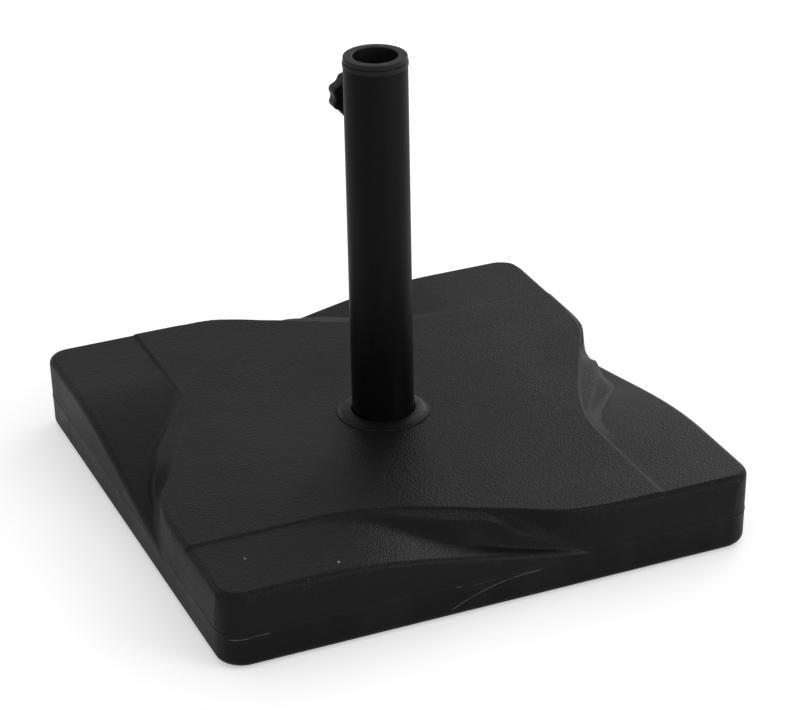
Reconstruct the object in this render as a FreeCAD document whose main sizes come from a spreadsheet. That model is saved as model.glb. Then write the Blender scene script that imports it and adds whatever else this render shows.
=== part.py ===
import FreeCAD, Part
import os
import re
from math import atan2, cos, pi, sin

import Sketcher

# Parasol base: a square plastic skin filled with concrete, and a steel tube that takes a 38 mm pole.
# Frame: millimetres, +Z up, origin on the floor under the tube's axis. The knob points along +Y.

V = FreeCAD.Vector

SIZES = {
    # Square base. Its sides flare by base_flare from the floor to flare_height.
    "base_width": 480.0,
    "base_flare": 1.1,
    "flare_height": 80.0,
    "corner_radius": 22.7,
    "bottom_fillet": 8.0,
    "floor_gap": 0.8,
    "skin": 3.2,
    "ballast_gap": 0.6,
    # Sculpted top: four equal panels, one along each side, fall away from a flat middle.
    "crest_height": 71.5,
    "dish_depth": 1.5,
    "dish_start": 44.0,
    "dish_end": 150.0,
    "crease_inset": 87.0,
    "crease_turn_start": -117.0,
    "crease_turn_end": 125.0,
    "tuck_share": 0.5,
    "tuck_start": 30.0,
    "tuck_end": 90.0,
    "crease_step": 1.1,
    "crease_step_run": 1.8,
    "lip_width": 4.5,
    "lip_start": 20.0,
    "lip_end": 95.0,
    "panel_fall": 38.4,
    "fall_start": -150.0,
    "fall_end": 135.0,
    "foot_least": 12.0,
    "foot_growth": 34.0,
    "foot_start": -120.0,
    "foot_end": 25.0,
    "foot_blend": 6.0,
    "rim_shelf": 0.34,
    "ledge_start": -92.0,
    "ledge_end": -50.0,
    "ledge_share": 0.45,
    "ledge_share_last": 0.70,
    "ledge_turn_start": -5.0,
    "ledge_turn_end": 25.0,
    "ledge_slope": 0.30,
    "ledge_slope_last": 0.95,
    "ledge_tilt_start": 5.0,
    "ledge_tilt_end": 62.0,
    "high_wall_run": 3.0,
    "high_wall_share": 0.35,
    "high_wall_start": -2.0,
    "high_wall_grown": 58.0,
    "high_wall_rise": 48.0,
    "high_wall_end": 95.0,
    "rim_round": 6.0,
    "grid_pitch": 4.0,
    # Underside: a shallow pocket inside a standing rim, pads, filling hole and bolt recess.
    "pocket_half": 205.0,
    "pocket_corner": 20.0,
    "pocket_depth": 3.0,
    "pad_radius": 10.0,
    "pad_thick": 2.3,
    "pad_place": 218.0,
    "pad_clearance": 0.2,
    "plug_place_across": -110.0,
    "plug_place_along": 95.0,
    "plug_hole_radius": 21.0,
    "plug_flange_radius": 27.0,
    "plug_flange_thick": 2.0,
    "plug_skirt_height": 7.0,
    "plug_skirt_wall": 2.0,
    "recess_radius": 22.0,
    "recess_top": 17.0,
    # Socket in the middle of the skin, where the tube stands.
    "socket_floor": 24.0,
    "socket_clearance": 0.5,
    # Tube and what is inside its foot.
    "tube_radius": 27.5,
    "tube_wall": 1.6,
    "tube_top": 395.8,
    "fit_clearance": 0.05,
    "foot_plate_thick": 4.0,
    "bolt_radius": 6.0,
    "bolt_length": 30.0,
    "bolt_head_flats": 19.0,
    "bolt_head_height": 7.5,
    "bolt_hole_radius": 6.6,
    "nut_height": 10.8,
    "washer_radius": 20.0,
    "washer_thick": 3.0,
    "lock_washer_radius": 10.5,
    "lock_washer_thick": 2.5,
    "lock_washer_slit": 1.6,
    "guide_height": 42.0,
    "guide_floor": 20.0,
    "guide_floor_thick": 3.0,
    "guide_bore_radius": 19.25,
    "guide_mouth_radius": 22.0,
    "guide_mouth_height": 4.0,
    "guide_hollow_radius": 14.0,
    # Collar ring round the foot of the tube.
    "collar_inner": 28.2,
    "collar_outer": 41.5,
    "collar_height": 3.4,
    "collar_lip": 1.2,
    "collar_crown": 30.0,
    # Bush in the top of the tube.
    "pole_bore_radius": 19.25,
    "bush_wall": 2.2,
    "bush_band_radius": 28.0,
    "bush_band_height": 3.9,
    "bush_groove_radius": 26.7,
    "bush_groove_height": 0.5,
    "bush_flange_radius": 27.3,
    "bush_flange_height": 4.1,
    "bush_edge": 0.8,
    "bush_sleeve_length": 33.8,
    "bush_rib_reach": 25.6,
    "bush_rib_thick": 2.0,
    "bush_rib_count": 8,
    # Clamping screw, across the tube along +Y.
    "knob_height": 350.0,
    "boss_radius": 9.0,
    "boss_face": 34.0,
    "screw_radius": 3.97,
    "screw_hole_radius": 4.05,
    "screw_start": 22.75,
    "screw_tip_radius": 2.7,
    "screw_tip_length": 1.6,
    "screw_head_start": 56.0,
    "screw_head_flats": 13.0,
    "screw_head_height": 5.3,
    "tube_hole_radius": 4.4,
    "pad_face": 20.0,
    "clamp_pad_radius": 5.0,
    "clamp_pad_thick": 2.6,
    "clamp_pad_socket": 1.8,
    "knob_start": 36.5,
    "knob_hub_length": 13.0,
    "knob_hub_radius": 9.0,
    "knob_body_radius": 18.2,
    "knob_body_length": 14.5,
    "knob_lobe_radius": 4.4,
    "knob_lobe_place": 16.6,
    "knob_lobe_count": 8,
    "knob_cap_radius": 8.2,
    "knob_cap_depth": 2.4,
    "knob_cap_crown": 0.5,
}

doc = FreeCAD.newDocument("ParasolBase")
sheet = doc.addObject("Spreadsheet::Sheet", "Sizes")
for row, (alias, value) in enumerate(SIZES.items(), start=1):
    sheet.set(f"A{row}", alias)
    sheet.set(f"B{row}", str(value))
    sheet.setAlias(f"B{row}", alias)
doc.recompute()

parts = []


def size(alias):
    return float(sheet.get(alias))


def sized(text):
    """Turns words such as tube_radius into references to the sheet's cells."""
    return re.sub(r"[a-z][a-z_]+", lambda word: "Sizes." + word.group(), text)


# ---- Helpers for parametric pieces ----

def add_part(label, piece, across="0", along="0", up="0", turned_to_y=False):
    """Names a finished piece and puts it in its place in the frame."""
    piece.Label = label
    if turned_to_y:
        piece.Placement = FreeCAD.Placement(V(), FreeCAD.Rotation(V(1, 0, 0), -90))
    for letter, text in (("x", across), ("y", along), ("z", up)):
        if text != "0":
            piece.setExpression(f"Placement.Base.{letter}", sized(text))
    parts.append(piece)
    return piece


def new_sketch(body, role, name):
    plane = next(feature for feature in body.Origin.OriginFeatures if feature.Role == role)
    sketch = body.newObject("Sketcher::SketchObject", name)
    sketch.AttachmentSupport = (plane, [""])
    sketch.MapMode = "FlatFace"
    return sketch


def bind(sketch, constraint, text):
    index = sketch.addConstraint(constraint)
    sketch.setExpression(f"Constraints[{index}]", sized(text))


def draw_outline(sketch, corners):
    """Closed straight-sided outline. Each corner is (across, up), as text for the sheet."""
    count = len(corners)
    start = [V(2 + cos(2 * pi * i / count), 2 + sin(2 * pi * i / count), 0) for i in range(count)]
    for i in range(count):
        sketch.addGeometry(Part.LineSegment(start[i], start[(i + 1) % count]))
    for i in range(count):
        sketch.addConstraint(Sketcher.Constraint("Coincident", i, 2, (i + 1) % count, 1))
    for i, (across, up) in enumerate(corners):
        if across == "0":
            sketch.addConstraint(Sketcher.Constraint("PointOnObject", i, 1, -2))
        else:
            bind(sketch, Sketcher.Constraint("DistanceX", -1, 1, i, 1, start[i].x), across)
        if up == "0":
            sketch.addConstraint(Sketcher.Constraint("PointOnObject", i, 1, -1))
        else:
            bind(sketch, Sketcher.Constraint("DistanceY", -1, 1, i, 1, start[i].y), up)


def turned_body(name, corners):
    """A body of revolution about its own Z, from an outline of (radius, height) corners."""
    body = doc.addObject("PartDesign::Body", name + "_body")
    sketch = new_sketch(body, "XZ_Plane", name + "_outline")
    draw_outline(sketch, corners)
    turn = body.newObject("PartDesign::Revolution", name + "_turn")
    turn.Profile = sketch
    turn.ReferenceAxis = (sketch, ["V_Axis"])
    turn.Angle = 360
    return body


def draw_circle(sketch, radius, across="0"):
    circle = sketch.addGeometry(Part.Circle(V(2, 0, 0), V(0, 0, 1), 1))
    bind(sketch, Sketcher.Constraint("Radius", circle, 1), radius)
    sketch.addConstraint(Sketcher.Constraint("PointOnObject", circle, 3, -1))
    if across == "0":
        sketch.addConstraint(Sketcher.Constraint("PointOnObject", circle, 3, -2))
    else:
        bind(sketch, Sketcher.Constraint("DistanceX", -1, 1, circle, 3, 2.0), across)


def cylinder(name, radius, height, up="0"):
    solid = doc.addObject("Part::Cylinder", name)
    solid.setExpression("Radius", sized(radius))
    solid.setExpression("Height", sized(height))
    if up != "0":
        solid.setExpression("Placement.Base.z", sized(up))
    return solid


def hexagon(name, flats, height, up="0"):
    solid = doc.addObject("Part::Prism", name)
    solid.Polygon = 6
    solid.setExpression("Circumradius", f"({sized(flats)}) / 2 / cos(30)")
    solid.setExpression("Height", sized(height))
    if up != "0":
        solid.setExpression("Placement.Base.z", sized(up))
    return solid


def cut(name, base, tool):
    result = doc.addObject("Part::Cut", name)
    result.Base = base
    result.Tool = tool
    return result


def fuse(name, pieces):
    result = doc.addObject("Part::MultiFuse", name)
    result.Shapes = pieces
    return result


# ---- Sculpted top of the skin, as a height over the floor ----

def ease(value, start, end):
    """0 before start, 1 after end, and a smooth rise between."""
    x = min(max((value - start) / (end - start), 0.0), 1.0)
    return x * x * (3 - 2 * x)


def softened(value, width):
    """Zero below, the value itself above, and a short curve between."""
    bend = min(max((value + width) / (2 * width), 0.0), 1.0)
    return value if value > width else width * bend ** 2


def side_drop(along, inward):
    """How far one side's panel lies below the flat middle.

    along runs from the middle of the side towards its right-hand corner, seen from outside, and
    inward is the distance from the side's face. The crease is a small step that keeps one inset
    from the left-hand corner, then swings out until only a narrow lip is left beside the face.
    Below it stand a ledge and a low wall. Towards the right a high wall, close under the crease,
    takes over from both.
    """
    crease = size("crease_inset") * (1 - ease(along, size("crease_turn_start"), size("crease_turn_end")))
    crease *= 1 - size("tuck_share") * ease(along, size("tuck_start"), size("tuck_end"))
    below = crease - inward
    lip = size("lip_width") * ease(along, size("lip_start"), size("lip_end"))
    step = size("crease_step") * ease(below + lip, -0.6, size("crease_step_run"))
    if below <= 0:
        return step
    fall = size("panel_fall") * ease(along, size("fall_start"), size("fall_end"))
    shelf = crease * (1 - size("rim_shelf"))
    foot = size("foot_least") + size("foot_growth") * ease(along, size("foot_start"), size("foot_end"))
    foot = max(shelf - softened(shelf - foot, size("foot_blend")), 1.0)
    ledge = ease(along, size("ledge_start"), size("ledge_end"))
    turn = ease(along, size("ledge_turn_start"), size("ledge_turn_end"))
    wall_top = foot * (size("ledge_share") * ledge * (1 - turn) + size("ledge_share_last") * turn)
    tilt = ease(along, size("ledge_tilt_start"), size("ledge_tilt_end"))
    slope = (size("ledge_slope") * (1 - tilt) + size("ledge_slope_last") * tilt) * ledge
    low = slope * min(below / foot, 1.0) + (1 - slope) * ease(below, wall_top, foot)
    high = 1 - (1 - min(below / size("high_wall_run"), 1.0)) ** 2
    share = size("high_wall_share") * ease(along, size("high_wall_start"), size("high_wall_grown"))
    share += (1 - size("high_wall_share")) * ease(along, size("high_wall_rise"), size("high_wall_end"))
    return step + fall * ((1 - share) * low + share * high)


def edge_drop(x, y):
    """Rounding of the top's outer rim."""
    half = size("base_width") / 2 + size("base_flare")
    radius = size("corner_radius")
    over_x = max(abs(x) - (half - radius), 0.0)
    over_y = max(abs(y) - (half - radius), 0.0)
    inward = radius - (over_x ** 2 + over_y ** 2) ** 0.5
    rounding = size("rim_round")
    past = min(max(rounding - inward, 0.0), 0.95 * rounding)
    return rounding - (rounding ** 2 - past ** 2) ** 0.5


def top_height(x, y):
    half = size("base_width") / 2
    drop = size("dish_depth") * (1 - ease((x * x + y * y) ** 0.5, size("dish_start"), size("dish_end")))
    for _ in range(4):
        drop += side_drop(x, y + half)
        x, y = y, -x
    return size("crest_height") - drop - edge_drop(x, y)


def height_grid(height):
    """Rows of points over the base's square, a little wider than the base itself."""
    pitch = size("grid_pitch")
    count = int((size("base_width") / 2 + 3 * pitch) / pitch)
    steps = [pitch * i for i in range(-count, count + 1)]
    return [[V(x, y, height(x, y)) for y in steps] for x in steps]


def space_above(points):
    """Solid that fills everything over a height grid, up to well above the base."""
    rows, columns = len(points), len(points[0])
    surface = Part.BSplineSurface()

    def clamped(count):
        return [4] + [1] * (count - 4) + [4], [float(i) for i in range(count - 2)]

    row_mults, row_knots = clamped(rows)
    column_mults, column_knots = clamped(columns)
    surface.buildFromPolesMultsKnots(
        points, row_mults, column_mults, row_knots, column_knots, False, False, 3, 3)
    return surface.toShape().extrude(V(0, 0, size("flare_height")))


# ---- The plastic skin and the concrete inside it ----

def rounded_square(half, radius, z):
    """Closed wire of four sides and four quarter arcs."""
    edges = []
    flat = half - radius
    bow = radius * sin(pi / 4)
    for quarter in range(4):
        turn = FreeCAD.Rotation(V(0, 0, 1), 90 * quarter)
        side_start = turn.multVec(V(half, -flat, z))
        side_end = turn.multVec(V(half, flat, z))
        arc_middle = turn.multVec(V(flat + bow, flat + bow, z))
        arc_end = turn.multVec(V(flat, half, z))
        edges.append(Part.makeLine(side_start, side_end))
        edges.append(Part.Arc(side_end, arc_middle, arc_end).toShape())
    return Part.Wire(edges)


def flared_block(inset, bottom):
    """Square block with rounded corners and flared sides, inset from the outside of the base."""
    half = size("base_width") / 2 - inset
    radius = size("corner_radius") - inset
    low = rounded_square(half, radius, bottom)
    high = rounded_square(half + size("base_flare"), radius, size("flare_height"))
    return Part.makeLoft([low, high], True, True)


def upright(radius, bottom, top, x=0.0, y=0.0):
    return Part.makeCylinder(radius, top - bottom, V(x, y, bottom))


def make_skin_and_ballast():
    outer_points = height_grid(top_height)
    pitch_steps = [(i, j) for i in (-1, 0, 1) for j in (-1, 0, 1)]
    last = len(outer_points) - 1

    def lowest_near(i, j):
        near = [(min(max(i + a, 0), last), min(max(j + b, 0), last)) for a, b in pitch_steps]
        return min(outer_points[a][b].z for a, b in near)

    def lowered(by):
        return [[V(point.x, point.y, lowest_near(i, j) - by) for j, point in enumerate(line)]
                for i, line in enumerate(outer_points)]

    skin = size("skin")
    gap = size("ballast_gap")
    bottom = size("floor_gap")
    pocket_top = bottom + size("pocket_depth")
    cavity_floor = pocket_top + skin
    above = size("flare_height")

    outside = flared_block(0.0, bottom)
    low_edges = [edge for edge in outside.Edges if edge.BoundBox.ZMax < bottom + 0.01]
    outside = outside.makeFillet(size("bottom_fillet"), low_edges)
    outside = outside.cut(space_above(outer_points))

    socket = size("tube_radius") + size("socket_clearance")
    column_radius = socket + skin
    cavity = flared_block(skin, cavity_floor).cut(space_above(lowered(skin)))
    cavity = cavity.cut(upright(column_radius, 0, above))

    pocket_wire = rounded_square(size("pocket_half"), size("pocket_corner"), 0)
    pocket = Part.Face(pocket_wire).extrude(V(0, 0, pocket_top))
    plug_x, plug_y = size("plug_place_across"), size("plug_place_along")
    openings = [
        pocket,
        upright(socket, size("socket_floor"), above),
        upright(size("bolt_hole_radius"), 0, above),
        upright(size("recess_radius"), 0, size("recess_top")),
        upright(size("plug_hole_radius"), 0, cavity_floor + 1, plug_x, plug_y),
    ]
    place = size("pad_place")
    for x, y in pad_corners(place):
        openings.append(upright(size("pad_radius") + size("pad_clearance"), 0, size("pad_thick"), x, y))
    shell = outside.cut(cavity)
    for opening in openings:
        shell = shell.cut(opening)

    ballast = flared_block(skin + gap, cavity_floor + gap).cut(space_above(lowered(skin + gap)))
    plug_clear = upright(size("plug_hole_radius") + gap, 0,
                         pocket_top + size("plug_skirt_height") + 1, plug_x, plug_y)
    ballast = ballast.cut(upright(column_radius + gap, 0, above)).cut(plug_clear)

    for label, shape in (("base_shell", shell), ("concrete_ballast", ballast)):
        feature = doc.addObject("Part::Feature", label)
        feature.Shape = shape.Solids[0] if len(shape.Solids) == 1 else shape
        feature.Label = label
        parts.append(feature)


def pad_corners(place):
    return [(-place, -place), (place, -place), (place, place), (-place, place)]


# ---- Underside fittings ----

def make_foot_pads():
    for number, (x, y) in enumerate(pad_corners(size("pad_place")), start=1):
        pad = cylinder(f"pad_{number}", "pad_radius", "pad_thick")
        across = "pad_place" if x > 0 else "-pad_place"
        along = "pad_place" if y > 0 else "-pad_place"
        add_part(f"foot_pad_{number}", pad, across, along)


def make_filler_plug():
    """Press-in plug: a flange that closes the hole, and a hollow skirt with a snap lip."""
    corners = [
        ("0", "0"),
        ("plug_flange_radius", "0"),
        ("plug_flange_radius", "plug_flange_thick"),
        ("plug_hole_radius - 0.3", "plug_flange_thick"),
        ("plug_hole_radius - 0.3", "plug_flange_thick + plug_skirt_height - 1"),
        ("plug_hole_radius - 1", "plug_flange_thick + plug_skirt_height"),
        ("plug_hole_radius - plug_skirt_wall - 0.3", "plug_flange_thick + plug_skirt_height"),
        ("plug_hole_radius - plug_skirt_wall - 0.3", "plug_flange_thick"),
        ("0", "plug_flange_thick"),
    ]
    add_part("filler_plug", turned_body("plug", corners), "plug_place_across", "plug_place_along",
             "floor_gap + pocket_depth - plug_flange_thick")


# ---- The tube, and the tie that holds it to the base ----

def make_tube():
    wall = cut("tube_pipe",
               cylinder("tube_outside", "tube_radius", "tube_top - socket_floor"),
               cylinder("tube_inside", "tube_radius - tube_wall", "tube_top - socket_floor"))
    hole = doc.addObject("Part::Cylinder", "tube_screw_hole")
    hole.setExpression("Radius", sized("tube_hole_radius"))
    hole.setExpression("Height", sized("tube_radius + 1"))
    hole.Placement = FreeCAD.Placement(V(), FreeCAD.Rotation(V(1, 0, 0), -90))
    hole.setExpression("Placement.Base.z", sized("knob_height - socket_floor"))
    add_part("tube", cut("tube_drilled", wall, hole), up="socket_floor")


def make_foot_plate():
    corners = [
        ("bolt_radius + fit_clearance", "0"),
        ("tube_radius - tube_wall - fit_clearance", "0"),
        ("tube_radius - tube_wall - fit_clearance", "foot_plate_thick"),
        ("bolt_radius + fit_clearance", "foot_plate_thick"),
    ]
    add_part("tube_foot_plate", turned_body("foot_plate", corners), up="socket_floor")


def make_tie():
    """Bolt, washers and nut, stacked from the recess up through the web into the tube."""
    nut = cut("tie_nut_cut",
              hexagon("tie_nut_hexagon", "bolt_head_flats", "nut_height"),
              cylinder("tie_nut_thread", "bolt_radius + fit_clearance", "nut_height"))
    add_part("tie_nut", nut, up="socket_floor + foot_plate_thick")

    washer = cut("tie_washer_cut",
                 cylinder("tie_washer_disc", "washer_radius", "washer_thick"),
                 cylinder("tie_washer_hole", "bolt_hole_radius", "washer_thick"))
    add_part("tie_washer", washer, up="recess_top - washer_thick")

    ring = cut("lock_washer_ring",
               cylinder("lock_washer_disc", "lock_washer_radius", "lock_washer_thick"),
               cylinder("lock_washer_hole", "bolt_radius + fit_clearance", "lock_washer_thick"))
    slit = doc.addObject("Part::Box", "lock_washer_gap")
    slit.setExpression("Length", sized("lock_washer_radius + 1"))
    slit.setExpression("Width", sized("lock_washer_slit"))
    slit.setExpression("Height", sized("lock_washer_thick"))
    slit.setExpression("Placement.Base.y", sized("-lock_washer_slit / 2"))
    add_part("tie_lock_washer", cut("lock_washer_split", ring, slit),
             up="recess_top - washer_thick - lock_washer_thick")

    head = hexagon("tie_bolt_head", "bolt_head_flats", "bolt_head_height")
    shank = cylinder("tie_bolt_shank", "bolt_radius", "bolt_length + 1", "bolt_head_height - 1")
    add_part("tie_bolt", fuse("tie_bolt_whole", [head, shank]),
             up="recess_top - washer_thick - lock_washer_thick - bolt_head_height")


def make_pole_guide():
    """Cup on the foot plate: hollow below for the nut, stepped floor, bore with a wide mouth."""
    outer = "tube_radius - tube_wall - 0.4"
    corners = [
        ("guide_hollow_radius", "0"),
        (outer, "0"),
        (outer, "guide_height"),
        ("guide_mouth_radius", "guide_height"),
        ("guide_bore_radius", "guide_height - guide_mouth_height"),
        ("guide_bore_radius", "guide_floor"),
        ("0", "guide_floor"),
        ("0", "guide_floor - guide_floor_thick"),
        ("guide_hollow_radius", "guide_floor - guide_floor_thick"),
    ]
    add_part("pole_guide", turned_body("guide", corners), up="socket_floor + foot_plate_thick")


def make_collar_ring():
    corners = [
        ("collar_inner", "0"),
        ("collar_outer", "0"),
        ("collar_outer", "collar_lip * 0.6"),
        ("collar_outer - 0.6", "collar_lip"),
        ("collar_outer - 1.8", "collar_lip"),
        ("collar_outer - 2.4", "collar_lip * 0.7"),
        ("(collar_outer + collar_crown) / 2", "(collar_height + collar_lip) / 2 + 0.3"),
        ("collar_crown", "collar_height"),
        ("collar_inner + 0.5", "collar_height"),
        ("collar_inner", "collar_height - 0.5"),
    ]
    add_part("collar_ring", turned_body("collar", corners), up="crest_height - dish_depth")


# ---- Bush in the top of the tube ----

def make_top_bush():
    """Flange in two steps with a groove between, a thin sleeve, and ribs that fill the tube."""
    sleeve_radius = "pole_bore_radius + bush_wall"
    band_top = "bush_sleeve_length + bush_band_height"
    groove_top = band_top + " + bush_groove_height"
    flange_top = groove_top + " + bush_flange_height"
    corners = [
        ("pole_bore_radius", "0"),
        (sleeve_radius, "0"),
        (sleeve_radius, "bush_sleeve_length"),
        ("bush_band_radius", "bush_sleeve_length"),
        ("bush_band_radius", band_top),
        ("bush_groove_radius", band_top),
        ("bush_groove_radius", groove_top),
        ("bush_flange_radius", groove_top),
        ("bush_flange_radius", flange_top + " - bush_edge"),
        ("bush_flange_radius - bush_edge", flange_top),
        ("pole_bore_radius + bush_edge", flange_top),
        ("pole_bore_radius", flange_top + " - bush_edge"),
    ]
    body = turned_body("bush", corners)
    sketch = new_sketch(body, "XZ_Plane", "bush_rib_outline")
    draw_outline(sketch, [
        (sleeve_radius + " - 0.5", "2"),
        ("bush_rib_reach - 2", "2"),
        ("bush_rib_reach", "5"),
        ("bush_rib_reach", "bush_sleeve_length + 0.5"),
        (sleeve_radius + " - 0.5", "bush_sleeve_length + 0.5"),
    ])
    rib = body.newObject("PartDesign::Pad", "bush_rib")
    rib.Profile = sketch
    rib.setExpression("Length", sized("bush_rib_thick"))
    rib.Midplane = True
    ribs = body.newObject("PartDesign::PolarPattern", "bush_ribs")
    ribs.Originals = [rib]
    ribs.Axis = (sketch, ["V_Axis"])
    ribs.Angle = 360
    ribs.setExpression("Occurrences", sized("bush_rib_count"))
    body.Tip = ribs
    add_part("top_bush", body, up="tube_top - bush_sleeve_length")


# ---- Clamping screw and knob, all turned about an axis along +Y ----

def make_knob_boss():
    """Threaded boss whose foot follows the tube's round wall."""
    blank = cut("boss_drilled",
                cylinder("boss_blank", "boss_radius", "boss_face - 20", "20"),
                cylinder("boss_thread", "screw_hole_radius", "boss_face"))
    saddle = doc.addObject("Part::Cylinder", "boss_saddle")
    saddle.setExpression("Radius", sized("tube_radius"))
    saddle.setExpression("Height", sized("boss_radius * 4"))
    saddle.Placement = FreeCAD.Placement(V(), FreeCAD.Rotation(V(1, 0, 0), -90))
    saddle.setExpression("Placement.Base.y", sized("-boss_radius * 2"))
    add_part("knob_boss", cut("boss_saddled", blank, saddle), up="knob_height", turned_to_y=True)


def make_clamp_screw():
    tip = cylinder("screw_tip", "screw_tip_radius", "screw_tip_length + 1", "screw_start - screw_tip_length")
    shank = cylinder("screw_shank", "screw_radius", "screw_head_start + 1 - screw_start", "screw_start")
    head = hexagon("screw_head", "screw_head_flats", "screw_head_height", "screw_head_start")
    add_part("clamp_screw", fuse("screw_whole", [tip, shank, head]), up="knob_height", turned_to_y=True)


def make_pressure_pad():
    corners = [
        ("0", "0"),
        ("clamp_pad_radius - 0.6", "0"),
        ("clamp_pad_radius", "0.6"),
        ("clamp_pad_radius", "clamp_pad_thick"),
        ("screw_tip_radius + fit_clearance", "clamp_pad_thick"),
        ("screw_tip_radius + fit_clearance", "clamp_pad_thick - clamp_pad_socket"),
        ("0", "clamp_pad_thick - clamp_pad_socket"),
    ]
    pad = turned_body("clamp_pad", corners)
    add_part("pressure_pad", pad, along="pad_face", up="knob_height", turned_to_y=True)


def make_knob():
    """Round hub and eight-lobed grip, bored for the screw, with a pocket for its head."""
    body = doc.addObject("PartDesign::Body", "knob_body")

    def pad(name, radius, across, length, reverse_from=None):
        sketch = new_sketch(body, "XY_Plane", name + "_outline")
        draw_circle(sketch, radius, across)
        if reverse_from:
            sketch.setExpression("AttachmentOffset.Base.z", sized(reverse_from))
        feature = body.newObject("PartDesign::Pad", name)
        feature.Profile = sketch
        feature.setExpression("Length", sized(length))
        return sketch, feature

    pad("knob_hub", "knob_hub_radius", "0", "knob_hub_length + 1")
    pad("knob_core", "knob_body_radius", "0", "knob_body_length", "knob_hub_length")
    sketch, lobe = pad("knob_lobe", "knob_lobe_radius", "knob_lobe_place", "knob_body_length",
                       "knob_hub_length")
    lobes = body.newObject("PartDesign::PolarPattern", "knob_lobes")
    lobes.Originals = [lobe]
    lobes.Axis = (body.Origin.OriginFeatures[2], [""])
    lobes.Angle = 360
    lobes.setExpression("Occurrences", sized("knob_lobe_count"))
    body.Tip = lobes
    half_lobe = FreeCAD.Rotation(V(0, 0, 1), 180 / size("knob_lobe_count"))
    body.Placement = FreeCAD.Placement(V(), half_lobe)

    top = "knob_hub_length + knob_body_length"
    hole = cylinder("knob_hole", "screw_radius + 0.03", top)
    head = hexagon("knob_head_pocket", "screw_head_flats + 0.1", top, "screw_head_start - knob_start")
    recess = cylinder("knob_cap_recess", "knob_cap_radius + 0.1", "knob_cap_depth + 1",
                      top + " - knob_cap_depth")
    knob = cut("knob_hollowed", body, fuse("knob_hollows", [hole, head, recess]))
    add_part("knob", knob, along="knob_start", up="knob_height", turned_to_y=True)


def make_knob_cap():
    corners = [
        ("0", "0"),
        ("knob_cap_radius", "0"),
        ("knob_cap_radius", "knob_cap_depth - 0.3"),
        ("knob_cap_radius * 0.7", "knob_cap_depth + knob_cap_crown * 0.6"),
        ("0", "knob_cap_depth + knob_cap_crown"),
    ]
    cap = turned_body("cap", corners)
    add_part("knob_cap", cap, along="knob_start + knob_hub_length + knob_body_length - knob_cap_depth",
             up="knob_height", turned_to_y=True)


def check_and_export():
    doc.recompute()
    for item in doc.Objects:
        if "Invalid" in item.State or "Error" in item.State:
            raise RuntimeError(f"{item.Name} failed: {item.State}")
    os.makedirs("parts", exist_ok=True)
    for piece in parts:
        shape = piece.Shape
        if shape.isNull() or not shape.isValid() or shape.Volume <= 0:
            raise RuntimeError(f"{piece.Label} has no valid shape")
        box = shape.BoundBox
        print(f"{piece.Label:18s} solids {len(shape.Solids)} volume {shape.Volume:12.1f}"
              f" z {box.ZMin:7.2f} to {box.ZMax:7.2f} x {box.XMin:7.2f} to {box.XMax:7.2f}"
              f" y {box.YMin:7.2f} to {box.YMax:7.2f}")
    for piece in parts:
        piece.Shape.exportStep(f"parts/{piece.Label}.step")


make_skin_and_ballast()
make_foot_pads()
make_filler_plug()
make_tube()
make_foot_plate()
make_tie()
make_pole_guide()
make_collar_ring()
make_top_bush()
make_knob_boss()
make_clamp_screw()
make_pressure_pad()
make_knob()
make_knob_cap()
check_and_export()
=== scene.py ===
from math import cos, pi, radians, sin, sqrt

import bmesh
import bpy
import numpy as np
from mathutils import Matrix, Vector


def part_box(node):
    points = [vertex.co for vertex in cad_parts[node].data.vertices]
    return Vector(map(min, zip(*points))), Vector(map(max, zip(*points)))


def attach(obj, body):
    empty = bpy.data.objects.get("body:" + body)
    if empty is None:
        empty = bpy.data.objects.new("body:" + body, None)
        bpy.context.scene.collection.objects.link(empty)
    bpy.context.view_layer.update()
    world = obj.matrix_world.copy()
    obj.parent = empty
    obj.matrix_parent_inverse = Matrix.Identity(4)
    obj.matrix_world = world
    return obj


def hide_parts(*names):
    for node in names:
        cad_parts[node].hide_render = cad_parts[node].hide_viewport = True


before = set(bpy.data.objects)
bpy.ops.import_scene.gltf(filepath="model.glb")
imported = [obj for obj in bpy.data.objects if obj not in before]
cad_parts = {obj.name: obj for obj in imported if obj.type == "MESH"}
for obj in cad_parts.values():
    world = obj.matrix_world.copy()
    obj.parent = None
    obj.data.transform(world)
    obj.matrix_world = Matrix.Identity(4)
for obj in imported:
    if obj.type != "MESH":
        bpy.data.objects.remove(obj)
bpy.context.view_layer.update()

# Parasol base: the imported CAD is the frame, and the pieces below are its visible skins.
# Everything is in metres, with +Z up and the origin on the floor under the tube's axis.

MM = 0.001

# ---------------------------------------------------------------------------
# Camera: a long lens a little above the base, level to within about a degree
# ---------------------------------------------------------------------------

CAMERA_AZIMUTH = radians(-22.80)
CAMERA_ELEVATION = radians(26.92)
CAMERA_ROLL = radians(-1.12)
CAMERA_DISTANCE = 2.4741
CAMERA_RIGHT = 0.01367
CAMERA_UP = 0.11082
CAMERA_LENS = 123.9


def make_camera():
    """Turned about its own axis by the roll, then moved across the view so that the base is placed in it."""
    azimuth, elevation = CAMERA_AZIMUTH, CAMERA_ELEVATION
    back = Vector((sin(azimuth) * cos(elevation), -cos(azimuth) * cos(elevation), sin(elevation)))
    level = Vector((cos(azimuth), sin(azimuth), 0))
    upright = back.cross(level)
    right = level * cos(CAMERA_ROLL) + upright * sin(CAMERA_ROLL)
    up = upright * cos(CAMERA_ROLL) - level * sin(CAMERA_ROLL)
    data = bpy.data.cameras.new("camera")
    data.lens = CAMERA_LENS
    data.sensor_width = 36
    camera = bpy.data.objects.new("camera", data)
    place = back * CAMERA_DISTANCE + right * CAMERA_RIGHT + up * CAMERA_UP
    turn = Matrix((right, up, back)).transposed()
    camera.matrix_world = Matrix.Translation(place) @ turn.to_4x4()
    bpy.context.scene.collection.objects.link(camera)
    bpy.context.scene.camera = camera


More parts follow.
